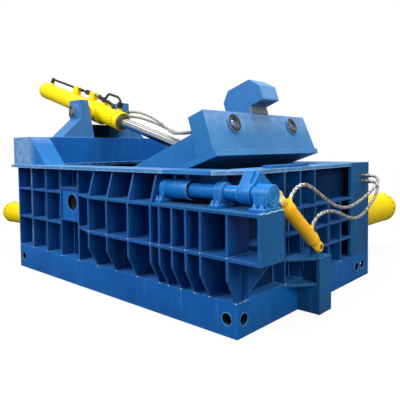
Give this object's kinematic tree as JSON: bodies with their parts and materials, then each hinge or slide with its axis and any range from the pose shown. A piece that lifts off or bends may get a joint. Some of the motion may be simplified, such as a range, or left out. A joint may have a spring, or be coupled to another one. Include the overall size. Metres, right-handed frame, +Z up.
{
  "type": "hydraulic scrap metal baling press",
  "caption": "Blue hydraulic scrap metal baling press with a hinged lid, lid cylinder on trunnion towers, main and side rams and a bale tipper on the near side",
  "frame": {"origin": "middle of the base's underside, on the floor", "axes": "+Z up, +X along the long side towards the discharge end, +Y away from the tipper side"},
  "size_m": [5.776, 4.672, 2.9694],
  "materials": {
    "blue_enamel": "gloss enamel over welded plate",
    "bare_steel": "machined, bare",
    "chrome": "hard chrome, polished",
    "yellow_enamel": "gloss enamel",
    "amber_enamel": "gloss enamel",
    "olive_steel": "oiled and dull",
    "black_steel": "satin black",
    "plated_fitting": "zinc plated",
    "hose_braid": "steel braid over rubber"
  },
  "bodies": {
    "frame": {"back_grid": "blue_enamel", "back_outer_wall": "blue_enamel", "back_wall": "blue_enamel", "base_frame": "blue_enamel", "bearing_shelf": "blue_enamel", "chamber_floor": "blue_enamel", "corner_plate": "blue_enamel", "foot_bracket": "blue_enamel", "foot_pin": "bare_steel", "frame_bolts": "bare_steel", "frame_fittings": "plated_fitting", "front_grid": "blue_enamel", "front_wall": "blue_enamel", "head_beam": "blue_enamel", "head_cheeks": "blue_enamel", "hinge_pins": "bare_steel", "hinge_plates": "blue_enamel", "housing_cover": "blue_enamel", "left_ribs": "blue_enamel", "left_wall": "blue_enamel", "lid_hose_far": "hose_braid", "lid_hose_near": "hose_braid", "main_barrels": "yellow_enamel", "middle_shelf": "blue_enamel", "ram_glands": "olive_steel", "right_grid": "blue_enamel", "right_wall": "blue_enamel", "rim_lock_plate": "blue_enamel", "rim_plate": "blue_enamel", "shaft_bearings": "blue_enamel", "shelf_end_plate": "blue_enamel", "shelf_ribs": "blue_enamel", "side_barrel": "yellow_enamel", "tipper_hose_lower": "hose_braid", "tipper_hose_upper": "hose_braid", "trunnion_caps": "blue_enamel", "trunnion_towers": "blue_enamel"},
    "lid": {"lid_press_plate": "blue_enamel", "lid_side_plates": "blue_enamel", "lid_front_beam": "blue_enamel", "lid_ribs": "blue_enamel", "lid_lugs": "blue_enamel", "lock_hook": "blue_enamel", "hook_pad": "bare_steel", "lock_sockets": "olive_steel", "lid_fittings": "plated_fitting"},
    "lid_cylinder": {"lid_barrel": "yellow_enamel", "lid_gland": "olive_steel", "lid_pipe": "black_steel", "pipe_clamps": "black_steel"},
    "lid_piston": {"lid_rod": "chrome"},
    "main_ram": {"main_ram_head": "blue_enamel", "main_rods": "chrome"},
    "side_ram": {"side_ram_head": "blue_enamel", "side_rod": "chrome"},
    "tipper": {"tipper_shaft": "blue_enamel", "tipper_crank": "blue_enamel", "tipper_flap": "blue_enamel"},
    "tipper_cylinder": {"tipper_barrel": "amber_enamel"},
    "tipper_piston": {"tipper_rod": "chrome"}
  },
  "joints": [
    {"name": "lid_hinge", "type": "hinge", "parent": "frame", "child": "lid", "pos_m": [-0.614, -0.158, 1.024], "axis": [0, -1, 0], "range_deg": [-18.65, 22], "deforming": ["lid_hose_near", "lid_hose_far"]},
    {"name": "lid_cylinder_swing", "type": "hinge", "parent": "frame", "child": "lid_cylinder", "pos_m": [-1.72, -0.158, 2.272], "axis": [0, -1, 0], "range_deg": [-8.5, 10]},
    {"name": "lid_piston_slide", "type": "slide", "parent": "lid_cylinder", "child": "lid_piston", "axis": [0.9559, 0, -0.2938], "range_m": [-0.36, 0.31]},
    {"name": "main_ram_slide", "type": "slide", "parent": "frame", "child": "main_ram", "axis": [1, 0, 0], "range_m": [0, 1.25]},
    {"name": "side_ram_slide", "type": "slide", "parent": "frame", "child": "side_ram", "axis": [0, -1, 0], "range_m": [0, 1.54]},
    {"name": "tipper_hinge", "type": "hinge", "parent": "frame", "child": "tipper", "pos_m": [1.34, -1.336, 1.284], "axis": [1, 0, 0], "range_deg": [0, 65]},
    {"name": "tipper_cylinder_swing", "type": "hinge", "parent": "frame", "child": "tipper_cylinder", "pos_m": [2.18, -0.29, 0.668], "axis": [1, 0, 0], "range_deg": [-9.4, 0.5], "deforming": ["tipper_hose_upper", "tipper_hose_lower"]},
    {"name": "tipper_piston_slide", "type": "slide", "parent": "tipper_cylinder", "child": "tipper_piston", "axis": [0, -0.7947, 0.6069], "range_m": [0, 0.285]}
  ],
  "couplings": [
    {"joint": "lid_cylinder_swing", "follows": "lid_hinge", "ratio": 0.4175},
    {"joint": "lid_piston_slide", "follows": "lid_hinge", "m_per_rad": -0.8807},
    {"joint": "tipper_cylinder_swing", "follows": "tipper_hinge", "ratio": -0.136},
    {"joint": "tipper_piston_slide", "follows": "tipper_hinge", "m_per_rad": 0.2427}
  ]
}
